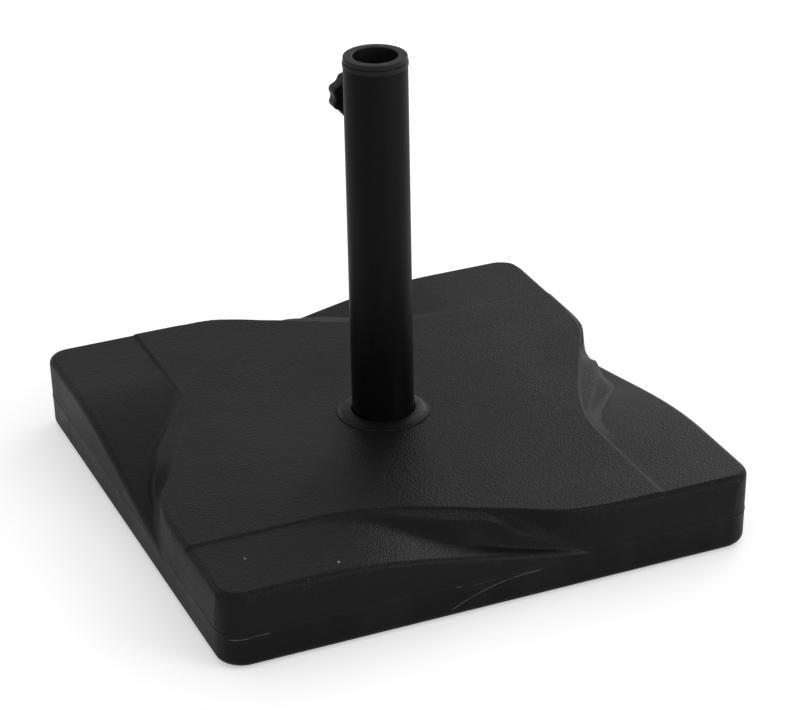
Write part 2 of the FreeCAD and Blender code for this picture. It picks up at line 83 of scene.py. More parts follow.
# ---------------------------------------------------------------------------
# Studio: pale floor, even pale surroundings, and soft lamps
# ---------------------------------------------------------------------------

FLOOR_HALF = 6.0
FLOOR_TONE = 0.95
FLOOR_GLOW_SEEN = 0.4
WORLD_LIGHT = 0.6
WORLD_SEEN = 1.0
LAMP_AIM = (0, 0, 0.1)
LAMPS = [  # name, place, width, watts
    ("back_softbox", (1.9, 1.5, 1.2), 1.4, 11),
    ("front_softbox", (1.5, -2.0, 1.3), 1.3, 15),
]


def make_lamp(name, place, width, power):
    """Square soft lamp turned to LAMP_AIM."""
    data = bpy.data.lights.new(name, "AREA")
    data.shape = "SQUARE"
    data.size = width
    data.energy = power
    lamp = bpy.data.objects.new(name, data)
    lamp.location = place
    lamp.rotation_mode = "QUATERNION"
    lamp.rotation_quaternion = (Vector(LAMP_AIM) - Vector(place)).to_track_quat("-Z", "Y")
    bpy.context.scene.collection.objects.link(lamp)


def camera_boost(tree, plain, seen, socket):
    """Sends one strength to what is seen directly, and another to the light that it gives."""
    path = tree.nodes.new("ShaderNodeLightPath")
    mix = tree.nodes.new("ShaderNodeMix")
    mix.inputs["A"].default_value = plain
    mix.inputs["B"].default_value = seen
    tree.links.new(path.outputs["Is Camera Ray"], mix.inputs["Factor"])
    tree.links.new(mix.outputs["Result"], socket)


def make_studio():
    world = bpy.data.worlds.new("studio")
    world.use_nodes = True
    background = world.node_tree.nodes["Background"]
    background.inputs["Color"].default_value = (1.0, 1.0, 1.0, 1.0)
    camera_boost(world.node_tree, WORLD_LIGHT, WORLD_SEEN, background.inputs["Strength"])
    bpy.context.scene.world = world
    bpy.context.scene.view_settings.view_transform = "Standard"

    for lamp in LAMPS:
        make_lamp(*lamp)

    mesh = bpy.data.meshes.new("floor")
    far = FLOOR_HALF
    mesh.from_pydata([(-far, -far, 0), (far, -far, 0), (far, far, 0), (-far, far, 0)], [], [(0, 1, 2, 3)])
    floor = bpy.data.objects.new("floor", mesh)
    bpy.context.scene.collection.objects.link(floor)
    material = bpy.data.materials.new("floor_paper")
    material.use_nodes = True
    shader = material.node_tree.nodes["Principled BSDF"]
    shader.inputs["Base Color"].default_value = (FLOOR_TONE, FLOOR_TONE, FLOOR_TONE, 1)
    shader.inputs["Roughness"].default_value = 0.9
    shader.inputs["Emission Color"].default_value = (1, 1, 1, 1)
    camera_boost(material.node_tree, 0.0, FLOOR_GLOW_SEEN, shader.inputs["Emission Strength"])
    mesh.materials.append(material)


# ---------------------------------------------------------------------------
# Shader nodes
# ---------------------------------------------------------------------------

class Shader:
    """Short names for the nodes that the materials share. Coordinates are the object's, in metres."""

    def __init__(self, name):
        self.material = bpy.data.materials.new(name)
        self.material.use_nodes = True
        self.tree = self.material.node_tree
        self.principled = self.tree.nodes["Principled BSDF"]
        coordinates = self.tree.nodes.new("ShaderNodeTexCoord")
        self.place = coordinates.outputs["Object"]
        split = self.tree.nodes.new("ShaderNodeSeparateXYZ")
        self.link(self.place, split.inputs[0])
        self.x, self.y, self.z = split.outputs

    def link(self, source, socket):
        if isinstance(source, (int, float, tuple)):
            socket.default_value = source
        else:
            self.tree.links.new(source, socket)

    def noise(self, scale, detail=3.0, roughness=0.5, stretch=None):
        node = self.tree.nodes.new("ShaderNodeTexNoise")
        node.inputs["Scale"].default_value = scale
        node.inputs["Detail"].default_value = detail
        node.inputs["Roughness"].default_value = roughness
        self.link(self.scaled(stretch) if stretch else self.place, node.inputs["Vector"])
        return node.outputs["Fac"]

    def cells(self, scale, feature="F1", smoothness=0.6):
        node = self.tree.nodes.new("ShaderNodeTexVoronoi")
        node.feature = feature
        node.inputs["Scale"].default_value = scale
        if feature == "SMOOTH_F1":
            node.inputs["Smoothness"].default_value = smoothness
        self.link(self.place, node.inputs["Vector"])
        return node.outputs["Distance"]

    def scaled(self, factors):
        node = self.tree.nodes.new("ShaderNodeVectorMath")
        node.operation = "MULTIPLY"
        self.link(self.place, node.inputs[0])
        node.inputs[1].default_value = factors
        return node.outputs[0]

    def distance_to(self, point, factors=(1, 1, 1)):
        """Distance from a point, with each axis stretched by its factor."""
        node = self.tree.nodes.new("ShaderNodeVectorMath")
        node.operation = "DISTANCE"
        self.link(self.scaled(factors), node.inputs[0])
        node.inputs[1].default_value = tuple(p * f for p, f in zip(point, factors))
        return node.outputs["Value"]

    def math(self, operation, a, b=0.0, clamp=False):
        node = self.tree.nodes.new("ShaderNodeMath")
        node.operation = operation
        node.use_clamp = clamp
        self.link(a, node.inputs[0])
        self.link(b, node.inputs[1])
        return node.outputs[0]

    def ramp(self, value, low, high, out_low=0.0, out_high=1.0):
        node = self.tree.nodes.new("ShaderNodeMapRange")
        node.interpolation_type = "SMOOTHSTEP"
        self.link(value, node.inputs["Value"])
        node.inputs["From Min"].default_value = low
        node.inputs["From Max"].default_value = high
        node.inputs["To Min"].default_value = out_low
        node.inputs["To Max"].default_value = out_high
        return node.outputs["Result"]

    def mix(self, factor, a, b):
        node = self.tree.nodes.new("ShaderNodeMix")
        node.data_type = "RGBA"
        self.link(factor, node.inputs[0])
        self.link(a, node.inputs[6])
        self.link(b, node.inputs[7])
        return node.outputs[2]

    def attribute(self, name):
        node = self.tree.nodes.new("ShaderNodeAttribute")
        node.attribute_name = name
        return node.outputs["Fac"]

    def bump(self, height, distance, strength=1.0, under=None):
        node = self.tree.nodes.new("ShaderNodeBump")
        node.inputs["Strength"].default_value = strength
        node.inputs["Distance"].default_value = distance
        self.link(height, node.inputs["Height"])
        if under:
            self.link(under, node.inputs["Normal"])
        return node.outputs["Normal"]

    def finish(self, color, roughness, normal=None, metallic=0.0, specular=0.5):
        self.link(color, self.principled.inputs["Base Color"])
        self.link(roughness, self.principled.inputs["Roughness"])
        self.principled.inputs["Metallic"].default_value = metallic
        self.principled.inputs["Specular IOR Level"].default_value = specular
        if normal:
            self.link(normal, self.principled.inputs["Normal"])
        return self.material


def gray(level, tint=1.0):
    """Near-neutral colour; tint over 1 leans a little to blue."""
    return (level, level, level * tint, 1.0)


# ---------------------------------------------------------------------------
# Materials
# ---------------------------------------------------------------------------

SEAM_HEIGHT = 32 * MM
GRAIN_PER_METRE = 672.0


def shell_material():
    """Leather-grained polyethylene above the parting line, smooth and scuffed below it."""
    s = Shader("shell_polyethylene")
    above = s.ramp(s.z, SEAM_HEIGHT + 1 * MM, SEAM_HEIGHT + 5 * MM)
    pebbles = s.cells(GRAIN_PER_METRE, "SMOOTH_F1", 0.5)
    fine = s.noise(1400, 2, 0.6)
    blotches = s.noise(9, 4, 0.6)
    smears = s.noise(30, 3, 0.6, (1, 1, 0.15))
    rim = s.attribute("rim")
    chips = s.ramp(s.noise(420, 3, 0.7), 0.60, 0.72)
    rub = s.math("MULTIPLY", s.math("MULTIPLY", rim, chips), s.ramp(s.noise(14, 2), 0.40, 0.62))

    tone = s.mix(blotches, (0.0057, 0.0053, 0.0060, 1), (0.0080, 0.0074, 0.0084, 1))
    peaks = s.math("MULTIPLY", s.ramp(pebbles, 0.2, 0.9), 0.5)
    tone = s.mix(peaks, tone, (0.0120, 0.0113, 0.0125, 1))
    lower = s.mix(s.ramp(smears, 0.35, 0.7), (0.0062, 0.0057, 0.0057, 1), (0.0105, 0.0096, 0.0096, 1))
    color = s.mix(above, lower, tone)
    color = s.mix(rub, color, gray(0.045))
    color = s.mix(scratches(s), color, gray(0.12))
    color = s.mix(specks(s), color, gray(0.45))

    rough = s.ramp(blotches, 0.3, 0.7, 0.38, 0.46)
    rough_lower = s.ramp(smears, 0.3, 0.7, 0.34, 0.44)
    mixed = s.math("ADD", s.math("MULTIPLY", rough, above),
                   s.math("MULTIPLY", rough_lower, s.math("SUBTRACT", 1.0, above)))
    rough_final = s.math("ADD", mixed, s.math("MULTIPLY", rub, 0.15), clamp=True)

    grain = s.math("MULTIPLY", pebbles, above)
    normal = s.bump(grain, 0.00035, 0.9)
    normal = s.bump(fine, 0.00005, 0.6, under=normal)
    return s.finish(color, rough_final, normal, specular=0.14)


def arc_mark(s, centre, radius, start, end, width):
    """A thin curved scuff on the front face: part of a circle in the XZ plane, between two x values.

    Its ends fade out over 3 mm, and its strength varies along it.
    """
    flat = s.distance_to((centre[0], 0, centre[1]), (1, 0, 1))
    off_line = s.math("ABSOLUTE", s.math("SUBTRACT", flat, radius))
    line = s.ramp(off_line, width, width * 0.4)
    fade = 3 * MM
    along = s.math("MULTIPLY", s.ramp(s.x, start, start + fade), s.ramp(s.x, end, end - fade))
    above = s.ramp(s.z, centre[1], centre[1] + 0.001)
    front = s.ramp(s.y, -0.2, -0.23)
    mark = s.math("MULTIPLY", s.math("MULTIPLY", line, along), s.math("MULTIPLY", above, front))
    return s.math("MULTIPLY", mark, s.ramp(s.noise(160, 2), 0.3, 0.6, 0.35, 1.0))


def scratches(s):
    """The scuffs that stand out on the front face."""
    long_scratch = arc_mark(s, (0.032, -0.134), 0.161, -0.043, 0.040, 0.0004)
    side_scratch = arc_mark(s, (-0.20, -0.30), 0.330, -0.235, -0.200, 0.0005)
    short_scratch = arc_mark(s, (-0.035, -0.40), 0.4296, -0.039, -0.032, 0.0006)
    faint_line = s.math("MULTIPLY", arc_mark(s, (0.01, -0.60), 0.6287, -0.025, 0.045, 0.0003), 0.4)
    strong = s.math("MAXIMUM", s.math("MAXIMUM", long_scratch, side_scratch), short_scratch)
    return s.math("MAXIMUM", strong, faint_line)


SPECKS = [  # x, y, radius
    (-0.201, -0.188, 0.0012),
    (-0.134, -0.2245, 0.0014),
]


def specks(s):
    """Two small pale specks on the top."""
    found = None
    for x, y, radius in SPECKS:
        near = s.ramp(s.distance_to((x, y, 0), (1, 1, 0)), radius, radius * 0.4)
        found = near if found is None else s.math("MAXIMUM", found, near)
    return s.math("MULTIPLY", found, s.ramp(s.z, 0.02, 0.03))


def tube_material():
    """Black satin powder coat: fine orange peel and a few faint rubbed streaks."""
    s = Shader("tube_powder_coat")
    peel = s.noise(900, 2, 0.5)
    streaks = s.noise(60, 3, 0.6, (1, 1, 0.06))
    color = s.mix(s.ramp(streaks, 0.4, 0.7), gray(0.0032, 1.1), gray(0.0050, 1.08))
    rough = s.ramp(streaks, 0.3, 0.7, 0.36, 0.46)
    return s.finish(color, rough, s.bump(peel, 0.00008, 0.5), specular=0.12)


def smooth_plastic(name, level, rough, grain=1600, depth=0.00004, specular=0.45):
    """Moulded plastic with a fine satin surface and slight cloudiness."""
    s = Shader(name)
    cloud = s.noise(45, 3, 0.6)
    color = s.mix(cloud, gray(level * 0.8, 1.05), gray(level * 1.25, 1.05))
    roughness = s.ramp(cloud, 0.3, 0.7, rough - 0.05, rough + 0.06)
    return s.finish(color, roughness, s.bump(s.noise(grain, 2, 0.6), depth, 0.6), specular=specular)


def zinc_material():
    """Zinc-plated steel: fine directionless brushing with duller patches."""
    s = Shader("zinc_plate")
    patch = s.noise(120, 4, 0.6)
    color = s.mix(patch, (0.42, 0.44, 0.46, 1), (0.62, 0.62, 0.60, 1))
    rough = s.ramp(patch, 0.3, 0.7, 0.28, 0.46)
    return s.finish(color, rough, s.bump(s.noise(2500, 2, 0.7), 0.00003, 0.6), metallic=1.0)


def concrete_material():
    """Cast concrete: sand grain with small pits."""
    s = Shader("cast_concrete")
    sand = s.noise(700, 5, 0.7)
    pits = s.ramp(s.cells(160), 0.0, 0.25)
    color = s.mix(sand, (0.24, 0.235, 0.22, 1), (0.46, 0.45, 0.43, 1))
    height = s.math("MULTIPLY", sand, pits)
    return s.finish(color, 0.9, s.bump(height, 0.0012, 0.9), specular=0.3)


def rubber_material():
    """Black rubber with a little dust on it."""
    s = Shader("pad_rubber")
    dust = s.noise(220, 4, 0.7)
    color = s.mix(s.ramp(dust, 0.45, 0.75), gray(0.010), gray(0.035))
    return s.finish(color, 0.85, s.bump(s.noise(1800, 3, 0.6), 0.0001, 0.7), specular=0.3)


def nylon_material():
    """Uncoloured nylon, slightly cloudy."""
    s = Shader("natural_nylon")
    cloud = s.noise(300, 3, 0.5)
    color = s.mix(cloud, (0.50, 0.48, 0.42, 1), (0.62, 0.60, 0.54, 1))
    return s.finish(color, 0.5, s.bump(s.noise(2000, 2, 0.5), 0.00003, 0.5), specular=0.5)


# ---------------------------------------------------------------------------
# Meshes
# ---------------------------------------------------------------------------

def ring_mesh(name, rings, closed=False, capped=False):
    """Skin over a stack of rings, each an array of points going round the same way.

    closed joins the last ring to the first; capped closes both ends with a point in the middle.
    """
    rings = [np.asarray(ring, float) for ring in rings]
    count = len(rings[0])
    points = [tuple(p) for ring in rings for p in ring]
    faces = []
    last = len(rings) if closed else len(rings) - 1
    for a in range(last):
        b = (a + 1) % len(rings)
        for i in range(count):
            j = (i + 1) % count
            faces.append((a * count + i, a * count + j, b * count + j, b * count + i))
    if capped:
        for ring, flipped in ((0, True), (len(rings) - 1, False)):
            middle = len(points)
            points.append(tuple(rings[ring].mean(axis=0)))
            for i in range(count):
                pair = (ring * count + i, ring * count + (i + 1) % count)
                faces.append((middle, *(pair[::-1] if flipped else pair)))
    mesh = bpy.data.meshes.new(name)
    mesh.from_pydata(points, [], faces)
    mesh.update()
    bm = bmesh.new()
    bm.from_mesh(mesh)
    bmesh.ops.recalc_face_normals(bm, faces=bm.faces)
    bm.to_mesh(mesh)
    bm.free()
    return mesh


def add_piece(name, mesh, material, body, replaced=()):
    """Puts a mesh in the scene on its body, in place of the CAD nodes in replaced."""
    mesh.materials.append(material)
    for polygon in mesh.polygons:
        polygon.use_smooth = True
    piece = bpy.data.objects.new(name, mesh)
    bpy.context.scene.collection.objects.link(piece)
    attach(piece, body)
    if replaced:
        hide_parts(*replaced)


def turned_ring(reach, height, turns):
    """Points at the given turns about Z; reach is one radius or one for each point."""
    return np.column_stack([reach * np.cos(turns), reach * np.sin(turns), np.full(len(turns), height)])


def circle(radius, height, count):
    return turned_ring(radius, height, np.arange(count) * 2 * pi / count)


def rounded_profile(corners, steps):
    """Corners are (radius, height, rounding). Returns the outline with each corner turned by an arc."""
    outline = []
    count = len(corners)
    for i, (r, z, rounding) in enumerate(corners):
        here = Vector((r, z))
        if rounding == 0:
            outline.append(here)
            continue
        to_last = (Vector(corners[i - 1][:2]) - here).normalized()
        to_next = (Vector(corners[(i + 1) % count][:2]) - here).normalized()
        for k in range(steps + 1):
            f = k / steps
            outline.append(here + to_last * rounding * (1 - f) ** 2 + to_next * rounding * f ** 2)
    return outline


def lathe(name, corners, count, steps):
    """Closed ring-shaped solid of revolution about Z from a rounded outline."""
    rings = [circle(p.x, p.y, count) for p in rounded_profile(corners, steps)]
    return ring_mesh(name, rings, closed=True)


# ---------------------------------------------------------------------------
# The skin of the base. Pairs of lengths are where a change starts and ends: along the side from
# its middle for the panels, and away from the tube for the dish.
# ---------------------------------------------------------------------------

BASE_HALF = 240 * MM
FLARE = 1.1 * MM
FLARE_HEIGHT = 80 * MM
CORNER_RADIUS = 22.7 * MM
FLOOR_GAP = 0.8 * MM
BOTTOM_FILLET = 8 * MM
RIM_ROUND = 6 * MM
CREST = 71.5 * MM
DISH = 1.5 * MM
DISH_REACH = (44 * MM, 150 * MM)
CREASE_INSET = 87 * MM
CREASE_TURN = (-117 * MM, 125 * MM)
TUCK_SHARE = 0.5
TUCK = (30 * MM, 90 * MM)
CREASE_STEP = 1.1 * MM
CREASE_STEP_RUN = (-0.6 * MM, 1.8 * MM)
LIP = 4.5 * MM
LIP_REACH = (20 * MM, 95 * MM)
PANEL_FALL = 38.4 * MM
FALL_REACH = (-150 * MM, 135 * MM)
FOOT_LEAST = 12 * MM
FOOT_GROWTH = 34 * MM
FOOT_REACH = (-120 * MM, 25 * MM)
FOOT_BLEND = 6 * MM
RIM_SHELF = 0.34  # share of the crease's distance from the face
LEDGE_SHARE = (0.45, 0.70)
LEDGE_SLOPE = (0.30, 0.95)
LEDGE_REACH = (-92 * MM, -50 * MM)
LEDGE_TURN = (-5 * MM, 25 * MM)
LEDGE_TILT = (5 * MM, 62 * MM)
HIGH_WALL_RUN = 3 * MM
HIGH_WALL_SHARE = 0.35
HIGH_WALL_START = (-2 * MM, 58 * MM)
HIGH_WALL_END = (48 * MM, 95 * MM)
SOCKET_RADIUS = 28 * MM
SEAM_WIDTH = 1.2 * MM
POCKET_DEPTH = 3 * MM
POCKET_HALF = 205 * MM
POCKET_CORNER = 20 * MM
RECESS_RADIUS = 22 * MM
BOLT_HOLE_RADIUS = 6.6 * MM
SHELL_POINTS = 960
ROUND_STEPS = 8
SIDE_STEPS = 10
UNDERSIDE_STEPS = 12
TOP_STEPS = np.concatenate([np.linspace(0, 0.55, 56)[:-1], np.linspace(0.55, 0.88, 78)[:-1],
                            np.linspace(0.88, 1, 46)])


def ease(value, start, end):
    """0 before start, 1 after end, and a smooth rise between."""
    x = np.clip((value - start) / (end - start), 0, 1)
    return x * x * (3 - 2 * x)


def softened(value, width):
    """Zero below, the value itself above, and a short curve between."""
    bend = np.clip((value + width) / (2 * width), 0, 1)
    return np.where(value > width, value, width * bend ** 2)


def side_drop(along, inward):
    """How far one side's panel lies below the flat middle: the same formula as in the CAD.

    The crease is a small step that swings out towards the face. Below it stand a ledge and a low
    wall, and towards the right a high wall close under the crease takes over from both.
    """
    crease = CREASE_INSET * (1 - ease(along, *CREASE_TURN)) * (1 - TUCK_SHARE * ease(along, *TUCK))
    below = crease - inward
    step = CREASE_STEP * ease(below + LIP * ease(along, *LIP_REACH), *CREASE_STEP_RUN)
    fall = PANEL_FALL * ease(along, *FALL_REACH)
    shelf = crease * (1 - RIM_SHELF)
    foot = FOOT_LEAST + FOOT_GROWTH * ease(along, *FOOT_REACH)
    foot = np.maximum(shelf - softened(shelf - foot, FOOT_BLEND), 1 * MM)
    ledge = ease(along, *LEDGE_REACH)
    turn = ease(along, *LEDGE_TURN)
    wall_top = foot * (LEDGE_SHARE[0] * ledge * (1 - turn) + LEDGE_SHARE[1] * turn)
    tilt = LEDGE_SLOPE[0] + (LEDGE_SLOPE[1] - LEDGE_SLOPE[0]) * ease(along, *LEDGE_TILT)
    slope = tilt * ledge
    low = slope * np.clip(below / foot, 0, 1) + (1 - slope) * ease(below, wall_top, foot)
    high = 1 - (1 - np.clip(below / HIGH_WALL_RUN, 0, 1)) ** 2
    share = HIGH_WALL_SHARE * ease(along, *HIGH_WALL_START)
    share = share + (1 - HIGH_WALL_SHARE) * ease(along, *HIGH_WALL_END)
    return step + fall * ((1 - share) * low + share * high)


def top_height(x, y):
    """Height of the top over the floor, before the rounding of its rim."""
    away = np.hypot(x, y)
    drop = DISH * (1 - ease(away, *DISH_REACH))
    for _ in range(4):
        drop = drop + side_drop(x, y + BASE_HALF)
        x, y = y, -x
    return CREST - drop


def square_outline(half, radius):
    """Points evenly spaced round a square with rounded corners, starting in the middle of a side."""
    flat = half - radius
    side, arc = 2 * flat, radius * pi / 2
    total = 4 * (side + arc)
    points = np.empty((SHELL_POINTS, 2))
    for i in range(SHELL_POINTS):
        quarter, rest = divmod((i / SHELL_POINTS * total + side / 2) % total, side + arc)
        if rest < side:
            x, y = half, rest - flat
        else:
            turn = (rest - side) / radius
            x, y = flat + radius * cos(turn), flat + radius * sin(turn)
        c, s = [(1, 0), (0, 1), (-1, 0), (0, -1)][int(quarter)]
        points[i] = c * x - s * y, s * x + c * y
    return points


def level_ring(outline, z):
    return np.column_stack([outline, np.broadcast_to(z, len(outline))])


def shell_rings():
    """Rings over the whole skin: top, rim, sides, underside, bolt recess, web and socket."""
    rings, rim = [], []

    def half_at(z):
        return BASE_HALF + FLARE * (z - FLOOR_GAP) / FLARE_HEIGHT

    def outline_at(z, inset=0.0):
        return square_outline(half_at(z) - inset, CORNER_RADIUS - inset * 0.6)

    def add(ring, wear=0.0):
        rings.append(ring)
        rim.append(wear)

    edge = outline_at(CREST, RIM_ROUND)
    turns = np.arctan2(edge[:, 1], edge[:, 0])
    inner = SOCKET_RADIUS * np.column_stack([np.cos(turns), np.sin(turns)])

    for f in TOP_STEPS:
        plan = inner * (1 - f) + edge * f
        wear = max(0.0, (f - 0.97) / 0.03) * 0.5
        add(level_ring(plan, top_height(plan[:, 0], plan[:, 1])), wear)
    for k in range(1, ROUND_STEPS + 1):
        turn = k / ROUND_STEPS * pi / 2
        inset = RIM_ROUND * (1 - sin(turn))
        plan = outline_at(CREST - RIM_ROUND, inset)
        z = top_height(plan[:, 0], plan[:, 1]) - RIM_ROUND * (1 - cos(turn))
        add(level_ring(plan, z), 0.5 + 0.5 * sin(2 * turn) if k < ROUND_STEPS else 0.6)

    top_edge = rings[-1][:, 2]
    seam = np.minimum(SEAM_HEIGHT, top_edge - 2 * MM)
    side_top, side_end = outline_at(CREST - RIM_ROUND), outline_at(SEAM_HEIGHT)
    for k in range(1, SIDE_STEPS + 1):
        z = top_edge + (seam + SEAM_WIDTH - top_edge) * k / SIDE_STEPS
        plan = side_top * (1 - k / SIDE_STEPS) + side_end * k / SIDE_STEPS
        add(level_ring(plan, z), 0.3 if k == 1 else 0.0)
    for dz, out in ((0.6, 0.1), (0.3, 0.35), (0, 0.4), (-0.3, 0.35), (-0.6, 0.1), (-1.2, 0)):
        add(level_ring(outline_at(SEAM_HEIGHT, -out * MM), seam + dz * MM))
    low = FLOOR_GAP + BOTTOM_FILLET
    for z in (18 * MM, 14 * MM, 11 * MM):
        add(level_ring(outline_at(z), z))
    for k in range(ROUND_STEPS + 1):
        turn = k / ROUND_STEPS * pi / 2
        inset = BOTTOM_FILLET * (1 - cos(turn))
        add(level_ring(outline_at(low, inset), low - BOTTOM_FILLET * sin(turn)))

    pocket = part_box("base_shell")[0].z + POCKET_DEPTH
    for past, z in ((17, FLOOR_GAP), (1.5, FLOOR_GAP), (0.6, FLOOR_GAP + 0.2 * MM), (0, FLOOR_GAP + 0.8 * MM),
                    (0, pocket - 0.6 * MM), (-0.6, pocket), (-15, pocket)):
        start = square_outline(POCKET_HALF + past * MM, POCKET_CORNER)
        add(level_ring(start, z))
    # the last of those squares shrinks into the round recess
    around = np.arctan2(start[:, 1], start[:, 0])
    goal = turned_ring(RECESS_RADIUS + 1 * MM, pocket, around)
    for k in range(1, UNDERSIDE_STEPS):
        f = k / UNDERSIDE_STEPS
        add(level_ring(start * (1 - f) + goal[:, :2] * f, pocket))
    add(goal)
    web_low, web_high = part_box("tie_washer")[1].z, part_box("tube")[0].z
    for radius, z in ((RECESS_RADIUS + 0.2 * MM, pocket + 0.3 * MM), (RECESS_RADIUS, pocket + 1 * MM),
                      (RECESS_RADIUS, web_low), (BOLT_HOLE_RADIUS, web_low), (BOLT_HOLE_RADIUS, web_high),
                      (SOCKET_RADIUS, web_high)):
        add(turned_ring(radius, z, around))
    socket_top = CREST - DISH
    for f in (0.3, 0.6, 0.9):
        add(level_ring(inner, web_high + (socket_top - web_high) * f))
    return rings, rim


def make_shell():
    rings, rim = shell_rings()
    mesh = ring_mesh("base_skin", rings, closed=True)
    wear = mesh.attributes.new("rim", "FLOAT", "POINT")
    wear.data.foreach_set("value", np.repeat(np.array(rim, dtype=np.float32), SHELL_POINTS))
    add_piece("base_skin", mesh, shell_material(), "base", ["base_shell"])


# ---------------------------------------------------------------------------
# Collar, tube and bush
# ---------------------------------------------------------------------------

COLLAR_BORE = 28.2 * MM
TUBE_WALL = 1.6 * MM
BUSH_BORE = 19.25 * MM
BUSH_SLEEVE = 21.45 * MM
BUSH_BAND = 28.0 * MM
BUSH_BAND_HEIGHT = 3.9 * MM
BUSH_GROOVE = 26.7 * MM
BUSH_GROOVE_HEIGHT = 0.5 * MM
BUSH_FLANGE = 27.3 * MM
BUSH_RIBS = 8
BUSH_RIB_REACH = 25.6 * MM
BUSH_RIB_THICK = 2 * MM


def make_collar():
    """Low smooth ring: a crown beside the tube, a long slope, and a fine bead round the outside."""
    low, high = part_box("collar_ring")
    outer, height, foot = high.x, high.z - low.z, low.z
    inner = COLLAR_BORE
    corners = [
        (inner, 0, 0), (inner, height, 0.8 * MM), (inner + 2 * MM, height, 1.2 * MM),
        ((outer + inner) / 2 + 1 * MM, height * 0.70, 3 * MM), (outer - 2.6 * MM, height * 0.30, 0.8 * MM),
        (outer - 2.0 * MM, height * 0.26, 0.2 * MM), (outer - 1.6 * MM, height * 0.36, 0.4 * MM),
        (outer - 0.3 * MM, height * 0.34, 0.6 * MM), (outer, height * 0.1, 0.2 * MM), (outer, 0, 0),
    ]
    mesh = lathe("collar_trim", [(r, foot + z, rounding) for r, z, rounding in corners], 160, 6)
    material = smooth_plastic("collar_plastic", 0.006, 0.38, specular=0.14)
    add_piece("collar_trim", mesh, material, "base", ["collar_ring"])


def make_tube(material):
    """Steel tube with eased ends."""
    low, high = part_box("tube")
    outer, inner, edge = high.x, high.x - TUBE_WALL, 0.3 * MM
    corners = [(outer, low.z, edge), (outer, high.z, edge), (inner, high.z, edge), (inner, low.z, edge)]
    mesh = lathe("tube_skin", corners, 192, 3)
    add_piece("tube_skin", mesh, material, "base", ["tube"])


def add_rib(bm, turn, inner, outer, low, high, thick, taper):
    """One upright rib of the bush: a thin plate with its lower outer corner cut back."""
    outline = [(inner, low), (outer - taper, low), (outer, low + taper * 1.5), (outer, high), (inner, high)]
    spin = Matrix.Rotation(turn, 4, "Z")
    rows = []
    for side in (-thick / 2, thick / 2):
        rows.append([bm.verts.new(spin @ Vector((r, side, z))) for r, z in outline])
    bm.faces.new(rows[0][::-1])
    bm.faces.new(rows[1])
    for i in range(len(outline)):
        j = (i + 1) % len(outline)
        bm.faces.new((rows[0][i], rows[0][j], rows[1][j], rows[1][i]))


def make_bush():
    """Ribbed sleeve in the tube, and above it a band, a fine groove and a flange."""
    low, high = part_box("top_bush")
    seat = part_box("tube")[1].z
    band_top = seat + BUSH_BAND_HEIGHT
    flange_low = band_top + BUSH_GROOVE_HEIGHT
    corners = [
        (BUSH_BORE, low.z, 0.3 * MM), (BUSH_SLEEVE, low.z, 0.4 * MM), (BUSH_SLEEVE, seat, 0),
        (BUSH_BAND, seat, 0.25 * MM), (BUSH_BAND, band_top, 0.8 * MM),
        (BUSH_GROOVE, band_top + 0.05 * MM, 0.1 * MM), (BUSH_GROOVE, flange_low, 0.1 * MM),
        (BUSH_FLANGE, flange_low, 0.4 * MM), (BUSH_FLANGE, high.z, 1.0 * MM), (BUSH_BORE, high.z, 0.9 * MM),
    ]
    mesh = lathe("bush_skin", corners, 160, 5)
    bm = bmesh.new()
    bm.from_mesh(mesh)
    for k in range(BUSH_RIBS):
        add_rib(bm, k * 2 * pi / BUSH_RIBS, BUSH_SLEEVE - 0.5 * MM, BUSH_RIB_REACH, low.z + 2 * MM,
                seat + 0.4 * MM, BUSH_RIB_THICK, 2 * MM)
    bm.to_mesh(mesh)
    bm.free()
    material = smooth_plastic("bush_plastic", 0.009, 0.42, specular=0.22)
    add_piece("bush_skin", mesh, material, "bush", ["top_bush"])


# ---------------------------------------------------------------------------
# Clamping knob and screw, about an axis along +Y
# ---------------------------------------------------------------------------

KNOB_LOBES = 8
KNOB_LOBE_DEPTH = 1.25 * MM
KNOB_HUB_LENGTH = 13 * MM
KNOB_HUB_RADIUS = 9 * MM
KNOB_HOLE_RADIUS = 4 * MM
KNOB_RECESS_RADIUS = 8.3 * MM
KNOB_RECESS_DEPTH = 2.4 * MM
KNOB_POINTS = 160
SCREW_RADIUS = 3.95 * MM
SCREW_PITCH = 1.25 * MM
SCREW_THREAD_DEPTH = 0.55 * MM
SCREW_TIP_RADIUS = 2.7 * MM
SCREW_TIP_LENGTH = 1.6 * MM
SCREW_HEAD_HEIGHT = 5.3 * MM
SCREW_HEAD_FLATS = 13 * MM
SCREW_HEAD_ROUND = 7.4 * MM


def turned_to_y(points, height):
    """Points about Z become points about the knob's axis: local up is +Y, at that height."""
    points = np.asarray(points)
    return np.column_stack([points[:, 0], points[:, 2], height - points[:, 1]])


def lobed_ring(radius, lobe, out):
    """Ring whose radius swings by lobe either way, with its lobes beside the +X axis, not on it."""
    turns = np.arange(KNOB_POINTS) * 2 * pi / KNOB_POINTS
    swell = np.cos(KNOB_LOBES * (turns - pi / KNOB_LOBES))
    reach = radius + lobe * (np.abs(swell) ** 0.8 * np.sign(swell))
    return turned_ring(reach, out, turns)


